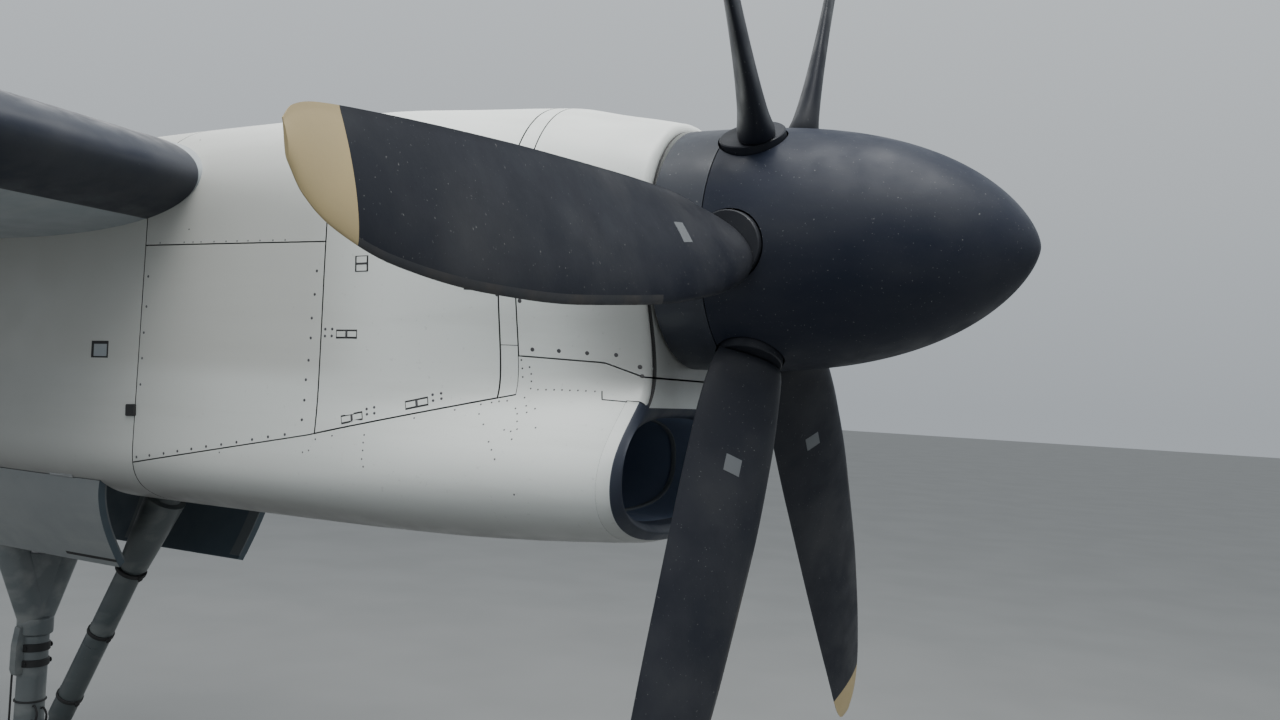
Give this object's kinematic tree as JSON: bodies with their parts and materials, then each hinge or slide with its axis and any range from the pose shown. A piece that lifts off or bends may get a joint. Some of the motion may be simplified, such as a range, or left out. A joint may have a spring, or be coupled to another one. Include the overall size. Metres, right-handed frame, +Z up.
{
  "type": "turboprop engine nacelle with propeller, wing piece and main landing gear leg",
  "caption": "Port turboprop nacelle under a piece of wing, with a spinnered multi-blade variable-pitch propeller, hinged cowlings, chin air intake and twin-wheel landing gear leg down.",
  "frame": {"origin": "on the flat inboard end of the wing piece, 1.6 m inboard of the propeller axis and 3.2 m behind the rear rim of the spinner", "axes": "+X forward along the propeller axis, +Y outboard towards the wing tip, +Z up"},
  "size_m": [8.052, 4.1148, 4.9047],
  "materials": {
    "white_paint": "satin",
    "blade_black": "satin",
    "spinner_black": "satin",
    "boot_rubber": "matte",
    "bare_steel": "satin",
    "engine_metal": "matte",
    "gear_paint": "satin",
    "tyre_rubber": "matte"
  },
  "bodies": {
    "nacelle": {"exhaust_pipe": "bare_steel", "strut_piston": "bare_steel", "brake_inboard": "bare_steel", "brake_outboard": "bare_steel", "engine_block": "engine_metal", "cowl_front": "white_paint", "seal_strip": "white_paint", "crown_spine": "white_paint", "upper_skin": "white_paint", "side_panel_inboard": "white_paint", "side_panel_outboard": "white_paint", "intake_cowl": "white_paint", "overwing_fairing": "white_paint", "nacelle_rear": "white_paint", "tail_fairing": "white_paint", "wing_section": "white_paint", "flap_inboard": "white_paint", "flap_outboard": "white_paint", "gear_door_front_inboard": "white_paint", "gear_door_front_outboard": "white_paint", "intake_lip": "boot_rubber", "intake_duct": "boot_rubber", "boot_inboard": "boot_rubber", "boot_outboard": "boot_rubber", "gear_yoke": "gear_paint", "strut_cylinder": "gear_paint", "drag_strut_upper": "gear_paint", "drag_strut_lower": "gear_paint", "torque_link_upper": "gear_paint", "torque_link_lower": "gear_paint", "retraction_ram": "gear_paint"},
    "propeller": {"spinner_shell": "spinner_black", "spinner_rear_ring": "spinner_black", "propeller_hub": "bare_steel"},
    "blade_1": {"blade_1": "blade_black"},
    "blade_2": {"blade_2": "blade_black"},
    "blade_3": {"blade_3": "blade_black"},
    "blade_4": {"blade_4": "blade_black"},
    "blade_5": {"blade_5": "blade_black"},
    "blade_6": {"blade_6": "blade_black"},
    "cowl_door_inboard": {"cowl_door_inboard": "white_paint"},
    "cowl_door_outboard": {"cowl_door_outboard": "white_paint"},
    "gear_door_rear_inboard": {"gear_door_rear_inboard": "white_paint"},
    "gear_door_rear_outboard": {"gear_door_rear_outboard": "white_paint"},
    "wheels": {"wheel_inboard": "bare_steel", "wheel_outboard": "bare_steel", "tyre_inboard": "tyre_rubber", "tyre_outboard": "tyre_rubber"}
  },
  "joints": [
    {"name": "propeller_spin", "type": "hinge", "parent": "nacelle", "child": "propeller", "pos_m": [3.2, 1.6, -0.2], "axis": [1, 0, 0], "continuous": true},
    {"name": "blade_1_pitch", "type": "hinge", "parent": "propeller", "child": "blade_1", "pos_m": [3.45, 1.6, -0.2], "axis": [0, -0.9954, -0.0958], "range_deg": [-35, 60]},
    {"name": "blade_2_pitch", "type": "hinge", "parent": "propeller", "child": "blade_2", "pos_m": [3.45, 1.6, -0.2], "axis": [0, -0.5807, 0.8141], "range_deg": [-35, 60]},
    {"name": "blade_3_pitch", "type": "hinge", "parent": "propeller", "child": "blade_3", "pos_m": [3.45, 1.6, -0.2], "axis": [0, 0.4147, 0.91], "range_deg": [-35, 60]},
    {"name": "blade_4_pitch", "type": "hinge", "parent": "propeller", "child": "blade_4", "pos_m": [3.45, 1.6, -0.2], "axis": [0, 0.9954, 0.0958], "range_deg": [-35, 60]},
    {"name": "blade_5_pitch", "type": "hinge", "parent": "propeller", "child": "blade_5", "pos_m": [3.45, 1.6, -0.2], "axis": [0, 0.5807, -0.8141], "range_deg": [-35, 60]},
    {"name": "blade_6_pitch", "type": "hinge", "parent": "propeller", "child": "blade_6", "pos_m": [3.45, 1.6, -0.2], "axis": [0, -0.4147, -0.91], "range_deg": [-35, 60]},
    {"name": "cowl_door_inboard_hinge", "type": "hinge", "parent": "nacelle", "child": "cowl_door_inboard", "pos_m": [2.694, 1.525, 0.28141], "axis": [-0.9991, 0, 0.0426], "range_deg": [0, 80]},
    {"name": "cowl_door_outboard_hinge", "type": "hinge", "parent": "nacelle", "child": "cowl_door_outboard", "pos_m": [2.694, 1.675, 0.28141], "axis": [0.9991, 0, -0.0426], "range_deg": [0, 80]},
    {"name": "gear_door_rear_inboard_hinge", "type": "hinge", "parent": "nacelle", "child": "gear_door_rear_inboard", "pos_m": [-0.591, 1.24, -1.14119], "axis": [-0.9954, 0, 0.0958], "range_deg": [0, 85]},
    {"name": "gear_door_rear_outboard_hinge", "type": "hinge", "parent": "nacelle", "child": "gear_door_rear_outboard", "pos_m": [-0.591, 1.96, -1.14119], "axis": [0.9954, 0, -0.0958], "range_deg": [0, 85]},
    {"name": "wheels_spin", "type": "hinge", "parent": "nacelle", "child": "wheels", "pos_m": [-0.05, 1.6, -2.86], "axis": [0, 1, 0], "continuous": true}
  ],
  "couplings": [
    {"joint": "blade_2_pitch", "follows": "blade_1_pitch", "ratio": 1},
    {"joint": "blade_3_pitch", "follows": "blade_1_pitch", "ratio": 1},
    {"joint": "blade_4_pitch", "follows": "blade_1_pitch", "ratio": 1},
    {"joint": "blade_5_pitch", "follows": "blade_1_pitch", "ratio": 1},
    {"joint": "blade_6_pitch", "follows": "blade_1_pitch", "ratio": 1},
    {"joint": "gear_door_rear_outboard_hinge", "follows": "gear_door_rear_inboard_hinge", "ratio": 1}
  ]
}
